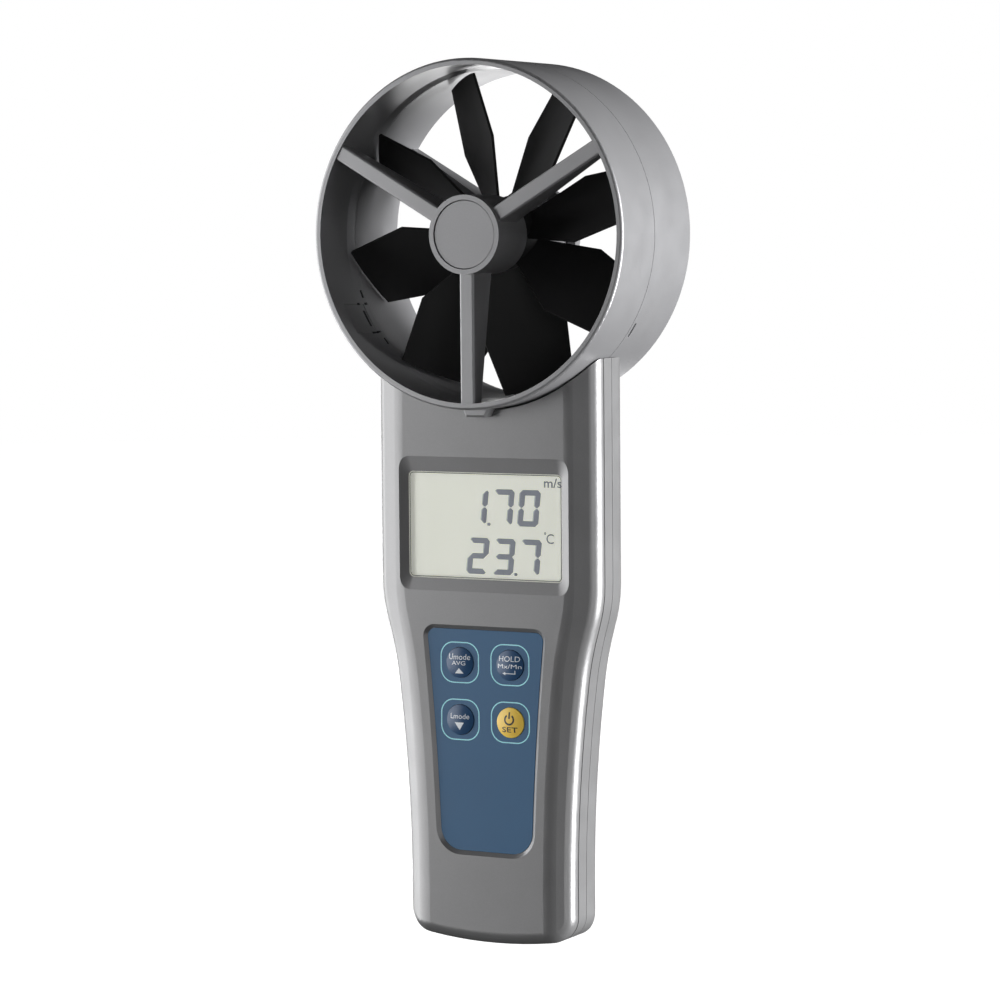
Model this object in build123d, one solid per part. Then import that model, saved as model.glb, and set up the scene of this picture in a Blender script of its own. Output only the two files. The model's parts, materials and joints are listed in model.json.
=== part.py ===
from build123d import *
import math
import os

# Vane anemometer, millimetres. X runs to the user's right as they read the display, Y runs from
# the display side to the back, Z runs up the length. The sizes below count y from the plane
# where the wind ring's two halves meet. The finished parts are moved so that the origin is the
# mouth of the tripod socket at the bottom end.

# ---- wind ring ----
RING_Z = 218.9            # height of the ring axis
RING_OUTER_R = 53.0
RING_FRONT_Y = -21.7
RING_REAR_Y = 25.6
RIM_INNER_R = 51.0        # bore next to the front rim
THROAT_R = 50.4           # bore around the vanes
THROAT_SLOPE_Y = (-5.7, -2.2)   # the bore narrows over this stretch
SEAM_GAP = 0.12           # half the visible gap between two mouldings
LIP_DEPTH = 1.5           # how far a locating lip reaches past a seam

# ---- struts and hubs ----
STRUT_ANGLES = (30, 150, 270)
STRUT_WIDTH = 5.0
STRUT_DEPTH_HUB = 11.3
STRUT_DEPTH_RIM = 4.0
HUB_R = 12.0
HUB_WALL = 1.6
FRONT_HUB_Y = (-22.6, -4.5)
REAR_HUB_Y = (9.3, 25.6)
REAR_FLANGE_R = 15.0
REAR_FLANGE_Y = 22.4
HUB_CAP_R = 10.4

# ---- impeller ----
VANE_COUNT = 8
VANE_START = 105.4        # angle of the first vane from +X towards +Z
VANE_PITCH = 42.8
VANE_THICK = 0.9
VANE_TIP_R = 49.4
VANE_KNEE_R = 28.2
VANE_MID_Y = 1.35
VANE_CHORDS = (10.9, 27.8, 21.5)   # at the hub, at the knee, at the tip
SLEEVE_R = 11.2
SLEEVE_Y = (-3.9, 8.7)
SHAFT_R = 1.0
BEARING_R = 3.0
BEARING_WIDTH = 2.5
FRONT_BEARING_Y = -8.0
REAR_BEARING_Y = 10.2

# ---- handle casing ----
FACE_Y = -12.3            # flat front face
FRONT_HIP_Y = -9.4        # the front flanks would meet the sides here
FRONT_CREASE = 0.772      # width of the flat front face over the casing's width
BACK_Y = 16.2             # flat back
BACK_HIP_Y = 7.0
BACK_CREASE = 0.6
FRONT_ROUND = (10.0, 4.0)   # radii of the front case's creases and of its rim
BACK_ROUND = (4.0, 4.5)
FRONT_SEAM_Y = -5.4       # groove between the front case and the middle frame
WALL = 2.2
HEAD_HALF = 38.25
GRIP_HALF = 28.5
BOTTOM_Z = 0.6
BOTTOM_ARC_R = 143.0
CORNER_R = 8.0
SWELL_Z = 17.9            # the grip starts to widen here
SWELL_RISE = 65.0
SWELL_R = 505.0
FLARE_RISE = 14.1
FLARE_SLOPE = 15.64       # steepest lean of the shoulder, degrees
SHOULDER_LINE = 4.0
BLANK_TOP_Z = 190.0       # above everything that the ring cradle leaves
CRADLE_R = 53.6           # the casing is cut to this radius under the ring

# ---- display and keys ----
GLASS = (26.7, 113.4, 146.3)      # half width, bottom, top of the visible display
SURROUND = (29.8, 109.6, 151.0)
GLASS_Y = -10.8
PANEL_TOP_Z = 97.9
PANEL_BOTTOM_Z = 29.3
PANEL_FACE_Y = -11.5
PANEL_THICK = 0.6
KEY_X = 8.75
KEY_ROWS = (87.6, 69.9)
KEY_R = 4.65
KEY_CLEAR = 0.15            # gap around a key
KEY_NAMES = ("key_up", "key_hold", "key_down", "key_power")

# ---- inside ----
BOARD_Y = (-4.0, -2.4)
BATTERY = (13.25, -6.0, 11.5, 10.5, 56.5)   # half width, front, back, bottom, top
DOOR_HALF = 14.6
DOOR_TOP_Z = 64.0
DOOR_FRONT_Y = 9.15
TONGUE_HALF = 16.3           # the door's tongues hook behind the case's back wall
TONGUE_Y = (12.7, 13.6)
NECK_HALF = 17.0
NECK_FRONT_Y = -4.95
NECK_REAR_Y = 6.0
NECK_BOTTOM_Z = 152.6
SCREW_SPOTS = ((31.0, 158.0), (27.5, 97.5), (20.5, 33.0))
BOARD_SPOTS = ((27.5, 106.2), (17.5, 67.5))
LCD_Y = (-9.6, -7.4)
KEY_STEM_Y = -5.7
SCREW_SEAT_Y = 4.3          # the heads of the case screws bear here
LABEL_HALF = 17.0
LABEL_Z = (84.0, 132.0)
PICKUP_BAY = (-3.4, 4.6)
PICKUP_BAY_TOP_Z = 165.2
NECK_SCREW = (14.2, 157.6)
SENSOR_ANGLES = (-155.3, -144.0)
SENSOR_Y = (-16.2, -4.3)
EDGE_SLOTS = ((-143.8, -5.0, 4.8, 0.8), (-155.4, -6.85, 1.7, 0.9), (-155.2, -3.15, 1.6, 0.9),
              (-158.9, -3.3, 1.1, 2.7), (-139.7, -3.2, 1.1, 2.7))
TAB_Y = (-16.5, -12.35)
INSERT_R = 3.6
TRIPOD_Y = -2.0
TRIPOD_BORE_R = 2.6
TRIPOD_DEPTH = 8.0


# ---------------------------------------------------------------- helpers
def prism(profile, front, back):
    """Extrude a flat X-Z profile from y=front to y=back."""
    plane = Plane(origin=(0, back, 0), x_dir=(1, 0, 0), z_dir=(0, -1, 0))
    return extrude(plane * profile, amount=back - front)


def block(half_x, front, back, bottom, top, x=0.0):
    """A box given by its half width, its y range and its z range."""
    centre = (x, (front + back) / 2, (bottom + top) / 2)
    return Pos(*centre) * Box(2 * half_x, back - front, top - bottom)


def barrel(radius, front, back, x=0.0, z=RING_Z):
    """A cylinder along Y."""
    return Pos(x, (front + back) / 2, z) * Rot(90, 0, 0) * Cylinder(radius, back - front)


def post(radius, bottom, top, x=0.0, y=0.0):
    """A cylinder along Z."""
    return Pos(x, y, (bottom + top) / 2) * Cylinder(radius, top - bottom)


def both_sides(shape):
    """A shape and its mirror image across the centre plane."""
    return shape + mirror(shape, about=Plane.YZ)


def rounded_rect(half_width, bottom, top, radius):
    return Pos(0, (bottom + top) / 2) * RectangleRounded(2 * half_width, top - bottom, radius)


# ---------------------------------------------------------------- casing shapes
def casing_face(bottom_z, foot):
    """The casing seen from the front, above a given bottom edge."""
    swell_lean = math.degrees(math.asin(SWELL_RISE / SWELL_R))
    rise = math.sin(math.radians(FLARE_SLOPE)) - math.sin(math.radians(swell_lean))
    side = Line((GRIP_HALF, bottom_z), (GRIP_HALF, SWELL_Z))
    swell = JernArc(side @ 1, side % 1, SWELL_R, -swell_lean)
    flare = JernArc(swell @ 1, swell % 1, FLARE_RISE / rise, swell_lean - FLARE_SLOPE)
    slope_end = flare @ 1 + (flare % 1) * SHOULDER_LINE
    slope = Line(flare @ 1, slope_end)
    turn_r = (HEAD_HALF - slope_end.X) / (1 - math.cos(math.radians(FLARE_SLOPE)))
    turn = JernArc(slope @ 1, slope % 1, turn_r, FLARE_SLOPE)
    head = Line(turn @ 1, (HEAD_HALF, BLANK_TOP_Z))
    right = [side, swell, flare, slope, turn, head]
    left = [mirror(edge, about=Plane.YZ) for edge in right]
    lid = Line((HEAD_HALF, BLANK_TOP_Z), (-HEAD_HALF, BLANK_TOP_Z))
    return make_face(Curve() + right + left + [lid, foot])


def outline():
    """The casing's outline, with its gently bowed bottom and round corners."""
    bottom_z = BOTTOM_Z + GRIP_HALF ** 2 / (2 * BOTTOM_ARC_R)
    foot = ThreePointArc((-GRIP_HALF, bottom_z), (0, BOTTOM_Z), (GRIP_HALF, bottom_z))
    face = casing_face(bottom_z, foot)
    corners = face.vertices().filter_by(lambda v: v.Y < bottom_z + 0.5)
    return fillet(corners, CORNER_R)


def flank_face(y, width_scale):
    """The casing's outline run on past the bottom end, at a given width, in the plane y."""
    foot = Line((-GRIP_HALF, -10), (GRIP_HALF, -10))
    plane = Plane(origin=(0, y, 0), x_dir=(1, 0, 0), z_dir=(0, -1, 0))
    return plane * scale(casing_face(-10, foot), by=(width_scale, 1, 1))


def inset_outline(inset):
    return outline() if inset == 0 else offset(outline(), -inset)


def hollow(inset, front, back):
    """The casing outline moved in by inset, cut clear of the ring cradle by the same inset."""
    return prism(inset_outline(inset), front, back) - barrel(CRADLE_R + inset, front - 1, back + 1)


def in_cradle(edge):
    middle = edge @ 0.5
    return abs(math.hypot(middle.X, middle.Z - RING_Z) - CRADLE_R) < 0.05


def case_blank(inset, seam, face, hip, crease):
    """One half of the casing as a solid: sides, sloping flanks and a flat face."""
    far = 2 * seam - face
    grow = (1 - crease) / (face - hip)
    sign = 1 if face > seam else -1
    roof = loft([flank_face(far, 1 + grow * (hip - far)), flank_face(face, crease)], ruled=True)
    inner_face = face - sign * inset
    walls = hollow(inset, min(seam, inner_face), max(seam, inner_face))
    return walls & (Pos(0, -sign * inset, 0) * roof)


def soften(blank, face, hip, radii):
    """Round a case blank's creases, then the rim where its face and flanks meet the sides."""
    crease_r, rim_r = radii
    sign = 1 if face > 0 else -1

    def is_crease(edge):
        ends = (edge @ 0, edge @ 1)
        flat = all(abs(point.Y - face) < 0.01 for point in ends)
        return flat and abs(ends[0].Z - ends[1].Z) > 2 and not in_cradle(edge)

    def is_wall(part_face):
        middle = part_face.center()
        round_ring = abs(math.hypot(middle.X, middle.Z - RING_Z) - CRADLE_R) < 1
        return abs(part_face.normal_at(middle).Y) < 0.05 and not round_ring

    def is_rim(edge):
        past_hip = sign * (edge.center().Y - hip) > -0.5
        return past_hip and abs((edge @ 0).Y - (edge @ 1).Y) < 12.8 and not in_cradle(edge)

    blank = fillet(blank.edges().filter_by(is_crease), crease_r)
    rim = [edge for wall in blank.faces().filter_by(is_wall) for edge in wall.edges() if is_rim(edge)]
    return fillet(rim, rim_r)


def case_shell(seam, face, hip, crease, radii):
    """A hollow half of the casing, open at its seam."""
    solid = soften(case_blank(0, seam, face, hip, crease), face, hip, radii)
    return solid - case_blank(WALL, seam, face, hip, crease)


def screw_posts(radius, front, back):
    posts = [both_sides(barrel(radius, front, back, x, z)) for x, z in SCREW_SPOTS]
    return posts[0] + posts[1] + posts[2]


def funnel(outer, inner, front, back):
    """A bevelled opening that narrows from one profile at y=front to another at y=back."""
    wide = Plane(origin=(0, front, 0), x_dir=(1, 0, 0), z_dir=(0, -1, 0)) * outer
    narrow = Plane(origin=(0, back, 0), x_dir=(1, 0, 0), z_dir=(0, -1, 0)) * inner
    return loft([wide, narrow], ruled=True)


def panel_outline(grow=0.0):
    """The keypad panel: it follows the casing's taper and has larger corners at its foot."""
    top, bottom = PANEL_TOP_Z + grow, PANEL_BOTTOM_Z - grow
    foot_half, top_half, mid_half = 15.7 + grow, 20.35 + grow, 17.55 + grow
    right = ThreePointArc((foot_half, bottom), (mid_half, 66), (top_half, top))
    left = mirror(right, about=Plane.YZ)
    lid = Line((top_half, top), (-top_half, top))
    foot = Line((-foot_half, bottom), (foot_half, bottom))
    face = make_face(Curve() + [right, left, lid, foot])
    face = fillet(face.vertices().filter_by(lambda v: v.Y > 80), 2.6 + grow)
    return fillet(face.vertices().filter_by(lambda v: v.Y < bottom + 0.5), 7.0 + grow)


def key_spots():
    return [(x, z) for z in KEY_ROWS for x in (-KEY_X, KEY_X)]


# ---------------------------------------------------------------- casing parts
def front_case():
    shell = case_shell(FRONT_SEAM_Y - 0.25, FACE_Y, FRONT_HIP_Y, FRONT_CREASE, FRONT_ROUND)
    half, bottom, top = GLASS
    outer_half, outer_bottom, outer_top = SURROUND
    lip_y = GLASS_Y - 0.4
    ratio = 1 / (lip_y - FACE_Y)
    mouth = rounded_rect(outer_half + (outer_half - half) * ratio,
                         outer_bottom - (bottom - outer_bottom) * ratio,
                         outer_top + (outer_top - top) * ratio, 6.5)
    throat = rounded_rect(half, bottom, top, 1.6)
    shell -= funnel(mouth, throat, FACE_Y - 1, lip_y)
    shell -= prism(throat, lip_y - 0.1, -8)
    shell -= prism(rounded_rect(half + 1.7, bottom - 1.7, top + 1.7, 2), GLASS_Y, -8)
    shell -= funnel(panel_outline(2.0), panel_outline(0.12), FACE_Y - 0.5, PANEL_FACE_Y + 0.1)
    shell -= prism(panel_outline(0.12), PANEL_FACE_Y, PANEL_FACE_Y + PANEL_THICK)
    for x, z in key_spots():
        shell -= barrel(KEY_R + KEY_CLEAR, FACE_Y, -8, x, z)
    inner_y = FACE_Y + WALL
    shell += screw_posts(3.0, inner_y - 0.3, -0.3) - screw_posts(1.25, -8.5, 0)
    for x, z in BOARD_SPOTS:
        shell += both_sides(barrel(2.4, inner_y - 0.3, BOARD_Y[0], x, z) - barrel(0.9, -8.5, 0, x, z))
    return shell - post(4.35, -1, 3.2, y=TRIPOD_Y)


def locating_lip(front, back):
    lip = hollow(WALL + 0.15, front, back) - hollow(WALL + 1.35, front, back)
    return lip - block(NECK_HALF + 0.3, front, back, 150, 175)


def middle_frame():
    front, back = FRONT_SEAM_Y + 0.25, -SEAM_GAP
    frame = hollow(0, front, back) - hollow(WALL, front, back)
    frame += locating_lip(front - LIP_DEPTH, front) + locating_lip(back, back + LIP_DEPTH)
    # the lips stand on a narrow ledge just inside the frame's wall
    frame += hollow(WALL - 0.1, front, back) - hollow(WALL + 1.35, front, back)
    frame -= block(NECK_HALF + 0.3, front - 3, back + 3, 150, 175)
    frame += post(5.0, 2.9, TRIPOD_DEPTH + 1.6, y=TRIPOD_Y) + post(4.2, BOTTOM_Z, 3.2, y=TRIPOD_Y)
    return frame - post(INSERT_R, -1, TRIPOD_DEPTH, y=TRIPOD_Y)


def rear_case():
    shell = case_shell(SEAM_GAP, BACK_Y, BACK_HIP_Y, BACK_CREASE, BACK_ROUND)
    shell -= block(NECK_HALF + 0.3, -1, NECK_REAR_Y + 0.3, 150, 175)
    shell -= block(DOOR_HALF + 0.15, DOOR_FRONT_Y - 0.15, BACK_Y + 1, -1, DOOR_TOP_Z + 0.2)
    tongue_slots = block(TONGUE_HALF + 0.3, TONGUE_Y[0] - 0.3, TONGUE_Y[1] + 0.3, -1, 10)
    shell -= tongue_slots
    shell += case_blank(0.5, SEAM_GAP, BACK_Y, BACK_HIP_Y, BACK_CREASE) & screw_posts(3.6, 0.3, BACK_Y)
    for x, z in SCREW_SPOTS:
        shell -= both_sides(barrel(1.5, 0, BACK_Y, x, z) + barrel(2.6, SCREW_SEAT_Y, BACK_Y + 1, x, z))
    shell -= block(LABEL_HALF, BACK_Y - 0.4, BACK_Y + 1, LABEL_Z[0], LABEL_Z[1])
    return shell - post(4.35, -1, 3.2, y=TRIPOD_Y)


def battery_door():
    shell = case_shell(SEAM_GAP, BACK_Y, BACK_HIP_Y, BACK_CREASE, BACK_ROUND)
    door = shell & block(DOOR_HALF, DOOR_FRONT_Y, BACK_Y + 1, -1, DOOR_TOP_Z)
    rail = block(0.6, TONGUE_Y[0], BACK_Y - WALL + 0.4, 8, DOOR_TOP_Z - 2, x=DOOR_HALF - 0.6)
    tongues = block(TONGUE_HALF, *TONGUE_Y, 8, DOOR_TOP_Z - 2) - block(DOOR_HALF - 1.1, 0, 20, 0, 80)
    door += both_sides(rail) + tongues
    for row in range(5):
        door -= block(8, BACK_Y - 0.5, BACK_Y + 1, 44 + 2.6 * row, 45.2 + 2.6 * row)
    return door


# ---------------------------------------------------------------- wind ring
def ring_band(inner_r, outer_r, front, back):
    return barrel(outer_r, front, back) - barrel(inner_r, front - 1, back + 1)


def strut(angle, face_y, sign):
    """A tapering fin from hub to rim; sign is +1 where the fin reaches towards the back."""
    reach_in, reach_out = HUB_R - 1.0, RIM_INNER_R + 0.6
    deep, shallow = face_y + sign * STRUT_DEPTH_HUB, face_y + sign * STRUT_DEPTH_RIM
    side = Polyline((reach_in, face_y), (reach_out, face_y), (reach_out, shallow), (reach_in, deep),
                    close=True)
    fin = extrude(make_face(side), amount=STRUT_WIDTH / 2, both=True)
    long_edges = [edge for edge in fin.edges() if edge.length > 30 and abs(edge.center().Y - face_y) < 0.1]
    fin = fillet(long_edges, 0.7)
    return Pos(0, 0, RING_Z) * Rot(0, -angle, 0) * fin


def hub_cup(front, back, web_front, web_back):
    """A tube with a web across it that carries the bearing."""
    tube = barrel(HUB_R, front, back) - barrel(HUB_R - HUB_WALL, front - 1, back + 1)
    return tube + barrel(HUB_R - 0.5, web_front, web_back)


def neck(front, back):
    outer = block(NECK_HALF, front, back, NECK_BOTTOM_Z, RING_Z - RING_OUTER_R + 4)
    outer = outer - barrel(RING_OUTER_R - 0.5, front - 1, back + 1)
    return outer - block(11.5, PICKUP_BAY[0], PICKUP_BAY[1], NECK_BOTTOM_Z - 1, PICKUP_BAY_TOP_Z)


def neck_screws(radius, front, back):
    return both_sides(barrel(radius, front, back, NECK_SCREW[0], NECK_SCREW[1]))


def vent_spot(angle, y, length_y, length_round):
    """A small block that cuts most of the way through the ring wall, placed by ring angle and y."""
    inner_r, outer_r = THROAT_R - 1, RIM_INNER_R + 1.4
    slot = Pos((inner_r + outer_r) / 2, y, 0) * Box(outer_r - inner_r, length_y, length_round)
    return Pos(0, 0, RING_Z) * Rot(0, -angle, 0) * slot


def sensor_pocket(inner_r, outer_r, gap):
    """A curved block in the ring wall behind the air temperature vent."""
    start, end = SENSOR_ANGLES[0] + gap, SENSOR_ANGLES[1] - gap
    front, back = SENSOR_Y[0] + gap / 2, SENSOR_Y[1] - gap / 2
    reach = 2 * outer_r
    points = [(0, 0)] + [(reach * math.cos(math.radians(a)), reach * math.sin(math.radians(a)))
                         for a in (start, end)]
    wedge = Pos(0, 0, RING_Z) * prism(make_face(Polyline(*points, close=True)), front, back)
    return wedge & ring_band(inner_r, outer_r, front, back)


def ring_front_half():
    back = -SEAM_GAP
    ring = barrel(RING_OUTER_R, RING_FRONT_Y, back) - barrel(RIM_INNER_R, RING_FRONT_Y - 1, back + 1)
    rims = [edge for edge in ring.edges() if abs(edge.center().Y - RING_FRONT_Y) < 0.1]
    outer_rim = [edge for edge in rims if edge.length > 2 * math.pi * (RING_OUTER_R - 0.5)]
    ring = fillet(outer_rim, 0.9)
    slope_front, slope_back = THROAT_SLOPE_Y
    ring += ring_band(THROAT_R, RIM_INNER_R + 0.5, slope_front, -LIP_DEPTH - 0.1)
    slope = Cone(THROAT_R, RIM_INNER_R, slope_back - slope_front)
    ring -= Pos(0, (slope_front + slope_back) / 2, RING_Z) * Rot(90, 0, 0) * slope
    ring -= barrel(RIM_INNER_R + 0.45, -LIP_DEPTH - 0.1, 0)
    for angle in STRUT_ANGLES:
        ring += strut(angle, RING_FRONT_Y + 0.5, 1)
    ring = ring + hub_cup(FRONT_HUB_Y[0], FRONT_HUB_Y[1], FRONT_BEARING_Y, FRONT_HUB_Y[1])
    ring -= barrel(BEARING_R, FRONT_BEARING_Y - 1, FRONT_BEARING_Y + BEARING_WIDTH)
    ring -= barrel(BEARING_R - 0.7, FRONT_BEARING_Y, 0)
    ring -= barrel(HUB_CAP_R + 0.1, FRONT_HUB_Y[0] - 1, FRONT_HUB_Y[0] + 2.0)
    ring += neck(NECK_FRONT_Y, back)
    ring -= neck_screws(0.9, NECK_FRONT_Y + 1, 0)
    ring -= sensor_pocket(RIM_INNER_R - 1.0, RING_OUTER_R - 0.6, 0)
    for slot in EDGE_SLOTS:
        ring -= vent_spot(*slot)
    tab_z = RING_Z - RING_OUTER_R
    tab = Polyline((-4.85, tab_z + 0.6), (-3.4, tab_z - 2.4), (3.4, tab_z - 2.4), (4.85, tab_z + 0.6),
                   close=True)
    tab = prism(make_face(tab), TAB_Y[0], TAB_Y[1])
    tab = chamfer(tab.edges().filter_by(lambda e: abs(e.center().Y - TAB_Y[0]) < 0.1
                                        and e.center().Z < tab_z), 0.7)
    return ring + (tab - barrel(RING_OUTER_R - 0.4, TAB_Y[0] - 1, TAB_Y[1] + 1))


def ring_rear_half():
    front = SEAM_GAP
    ring = barrel(RING_OUTER_R, front, RING_REAR_Y) - barrel(THROAT_R, front - 1, RING_REAR_Y + 1)
    rims = [edge for edge in ring.edges() if abs(edge.center().Y - RING_REAR_Y) < 0.1]
    ring = chamfer(rims, 0.9)
    ring += ring_band(THROAT_R, RIM_INNER_R + 0.4, -LIP_DEPTH, front + 0.5)
    for angle in STRUT_ANGLES:
        ring += strut(angle, RING_REAR_Y - 0.3, -1)
    ring += hub_cup(REAR_HUB_Y[0], REAR_FLANGE_Y + 0.5, REAR_HUB_Y[0], REAR_BEARING_Y + BEARING_WIDTH)
    ring += barrel(REAR_FLANGE_R, REAR_FLANGE_Y, REAR_HUB_Y[1]) - barrel(HUB_CAP_R - 0.1, 0, 30)
    ring -= barrel(HUB_CAP_R + 2.1, REAR_HUB_Y[1] - 1.4, REAR_HUB_Y[1] + 1)
    ring -= barrel(BEARING_R, REAR_BEARING_Y, REAR_BEARING_Y + BEARING_WIDTH + 1)
    ring -= barrel(BEARING_R - 0.7, 0, REAR_BEARING_Y + BEARING_WIDTH)
    ring += neck(front, NECK_REAR_Y)
    ring -= neck_screws(1.15, 0, NECK_REAR_Y + 1)
    notch = Pos(0, 0, RING_Z) * Rot(0, 33.5, 0) * Pos(RING_OUTER_R, 2.0, 0) * Box(0.8, 1.2, 5.0)
    return ring - notch


def hub_cap(radius, front, back, dish_y):
    """A flat disc with a shallow dished step on its outer face."""
    cap = barrel(radius, front, back)
    edge = [e for e in cap.edges() if abs(e.center().Y - dish_y) < 0.1 and e.geom_type == GeomType.CIRCLE]
    return fillet(edge, 0.3)


def sensor_cover():
    plate = sensor_pocket(RIM_INNER_R, RIM_INNER_R + 0.7, 0.18)
    middle = sum(SENSOR_ANGLES) / 2
    plate -= vent_spot(middle, SENSOR_Y[1] - 1.2, 1.4, 5.8)
    for slot in EDGE_SLOTS:
        plate -= vent_spot(*slot)
    return plate


# ---------------------------------------------------------------- impeller
def vane(angle):
    """One flat vane: narrow at the hub, widest at the knee, a little narrower at the tip."""
    hub_half, knee_half, tip_half = [chord / 2 for chord in VANE_CHORDS]
    reach = VANE_TIP_R + 2
    shape = Polyline((SLEEVE_R - 0.8, hub_half), (VANE_KNEE_R, knee_half), (reach, tip_half),
                     (reach, -tip_half), (VANE_KNEE_R, -knee_half), (SLEEVE_R - 0.8, -hub_half),
                     close=True)
    blade = extrude(make_face(shape), amount=VANE_THICK / 2, both=True)
    blade = Rot(90 - VANE_PITCH, 0, 0) * blade
    return Pos(0, VANE_MID_Y, RING_Z) * Rot(0, -angle, 0) * blade


def impeller():
    front, back = SLEEVE_Y
    wheel = barrel(SLEEVE_R, front, back) - barrel(SLEEVE_R - 1.3, front - 1, back + 1)
    wheel += barrel(SLEEVE_R - 0.5, VANE_MID_Y - 1.0, VANE_MID_Y + 1.0)
    wheel += barrel(2.6, front - 0.3, back + 0.3)
    for index in range(VANE_COUNT):
        wheel += vane(VANE_START - index * 360 / VANE_COUNT) & barrel(VANE_TIP_R, -20, 20)
    return wheel - barrel(SHAFT_R, front - 2, back + 2)


def impeller_shaft():
    shaft = barrel(SHAFT_R, FRONT_BEARING_Y - 0.6, REAR_BEARING_Y + BEARING_WIDTH + 0.6)
    return chamfer(shaft.edges().filter_by(GeomType.CIRCLE), 0.25)


def bearing(front):
    ring = barrel(BEARING_R, front, front + BEARING_WIDTH)
    return ring - barrel(SHAFT_R + 0.04, front - 1, front + BEARING_WIDTH + 1)


# ---------------------------------------------------------------- display and keys
def key(x, z):
    """A domed key cap with a retaining flange and a stem that reaches the switch."""
    sphere_r = 16.0
    cap = barrel(KEY_R, PANEL_FACE_Y - 0.95, -9.2, x, z)
    cap = cap & (Pos(x, PANEL_FACE_Y - 0.95 + sphere_r, z) * Sphere(sphere_r))
    flange = barrel(KEY_R + 1.2, -9.7, -8.9, x, z)
    stem = barrel(1.5, -9.0, KEY_STEM_Y, x, z)
    return cap + flange + stem


def dome_switch(x, z):
    return barrel(2.8, BOARD_Y[0] - 0.45, BOARD_Y[0], x, z) + barrel(1.6, BOARD_Y[0] - 0.75, BOARD_Y[0], x, z)


def keypad_panel():
    panel = prism(panel_outline(), PANEL_FACE_Y, PANEL_FACE_Y + PANEL_THICK)
    for x, z in key_spots():
        panel -= barrel(KEY_R + KEY_CLEAR, FACE_Y, 0, x, z)
    return panel


def display_window():
    half, bottom, top = GLASS
    return prism(rounded_rect(half + 1.5, bottom - 1.5, top + 1.5, 1.8), GLASS_Y + 0.02, GLASS_Y + 1.0)


def lcd_panel():
    half, bottom, top = GLASS
    return block(half + 1.8, LCD_Y[0], LCD_Y[1], bottom - 2.6, top + 2.4)


def lcd_holder():
    half, bottom, top = GLASS
    outer = block(half + 3.6, LCD_Y[0] + 0.8, BOARD_Y[0], bottom - 4.2, top + 4.0)
    inner = block(half + 2.0, LCD_Y[0], BOARD_Y[0] + 1, bottom - 2.8, top + 2.6)
    return outer - inner


def contact_strips():
    half, bottom, top = GLASS
    low = block(half - 1, LCD_Y[1], BOARD_Y[0], bottom - 2.2, bottom - 0.2)
    high = block(half - 1, LCD_Y[1], BOARD_Y[0], top, top + 2.0)
    return low + high


# ---------------------------------------------------------------- electronics and battery
def main_board():
    upper = block(31.0, BOARD_Y[0], BOARD_Y[1], 102.5, 151.4)
    board = upper + block(22.0, BOARD_Y[0], BOARD_Y[1], 63.5, 103)
    for x, z in BOARD_SPOTS:
        board -= both_sides(barrel(1.1, -6, 0, x, z))
    return board


def board_screws():
    return both_sides(small_screw(BOARD_SPOTS[0])) + both_sides(small_screw(BOARD_SPOTS[1]))


def small_screw(spot):
    x, z = spot
    head = barrel(1.8, BOARD_Y[1], BOARD_Y[1] + 1.1, x, z)
    slot = block(1.4, BOARD_Y[1] + 0.6, BOARD_Y[1] + 2, z - 0.2, z + 0.2, x=x)
    return head + barrel(0.9, -8.5, BOARD_Y[1] + 0.1, x, z) - slot


def pan_screw(x, z, radius, shank_r, tip_y, head_y):
    """A cross-head screw that points to the front, with its head towards the back."""
    head = barrel(radius, head_y, head_y + 1.7, x, z)
    head = fillet([e for e in head.edges() if abs(e.center().Y - head_y - 1.7) < 0.1], 0.5)
    cross = block(radius * 0.62, head_y + 0.8, head_y + 3, z - 0.3, z + 0.3, x=x)
    cross += block(0.3, head_y + 0.8, head_y + 3, z - radius * 0.62, z + radius * 0.62, x=x)
    return head + barrel(shank_r, tip_y, head_y + 0.1, x, z) - cross


def case_screws():
    screws = [both_sides(pan_screw(x, z, 2.3, 1.25, -8.0, SCREW_SEAT_Y)) for x, z in SCREW_SPOTS]
    return screws[0] + screws[1] + screws[2]


def ring_screws():
    x, z = NECK_SCREW
    return both_sides(pan_screw(x, z, 1.9, 0.9, NECK_FRONT_Y + 1.2, NECK_REAR_Y))


def pickup_coil():
    spool = post(2.9, 154.2, 164.9, y=0.7) - post(2.2, 156, 163, y=0.7)
    return spool + post(2.25, 155.9, 163.1, y=0.7)


def battery():
    half, front, back, bottom, top = BATTERY
    cell = block(half, front, back, bottom, top - 2.6)
    cell = fillet(cell.edges().filter_by(Axis.Z), 1.6)
    for x, radius in ((-6.3, 2.8), (6.3, 3.6)):
        cell += post(radius, top - 2.7, top, x=x, y=(front + back) / 2)
    return cell


def battery_clip():
    half, front, back, bottom, top = BATTERY
    middle = (front + back) / 2
    clip = block(half - 0.8, middle - 5.5, middle + 5.5, top - 2.4, top + 1.6)
    for x, radius in ((-6.3, 2.8), (6.3, 3.6)):
        clip -= post(radius, top - 3, top, x=x, y=middle)
    clip += block(10.5, BOARD_Y[0], BOARD_Y[1], top + 1.5, 63.5)
    return clip


def tripod_insert():
    insert = post(INSERT_R, 0.3, TRIPOD_DEPTH, y=TRIPOD_Y) + post(4.0, 0, BOTTOM_Z, y=TRIPOD_Y)
    return insert - post(TRIPOD_BORE_R, -1, TRIPOD_DEPTH + 1, y=TRIPOD_Y)


def microcontroller():
    return block(6, BOARD_Y[1], BOARD_Y[1] + 1.4, 119, 131)


def buzzer():
    can = barrel(6, BOARD_Y[1], 3.4, 12, 92)
    return can - barrel(1, 2.4, 4, 12, 92)


def thermistor():
    return sensor_pocket(RIM_INNER_R + 0.78, RIM_INNER_R + 1.3, 3.6)


# ---------------------------------------------------------------- the assembly
def label_plate():
    return block(LABEL_HALF - 0.2, BACK_Y - 0.4, BACK_Y - 0.15, LABEL_Z[0] + 0.2, LABEL_Z[1] - 0.2)


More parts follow.
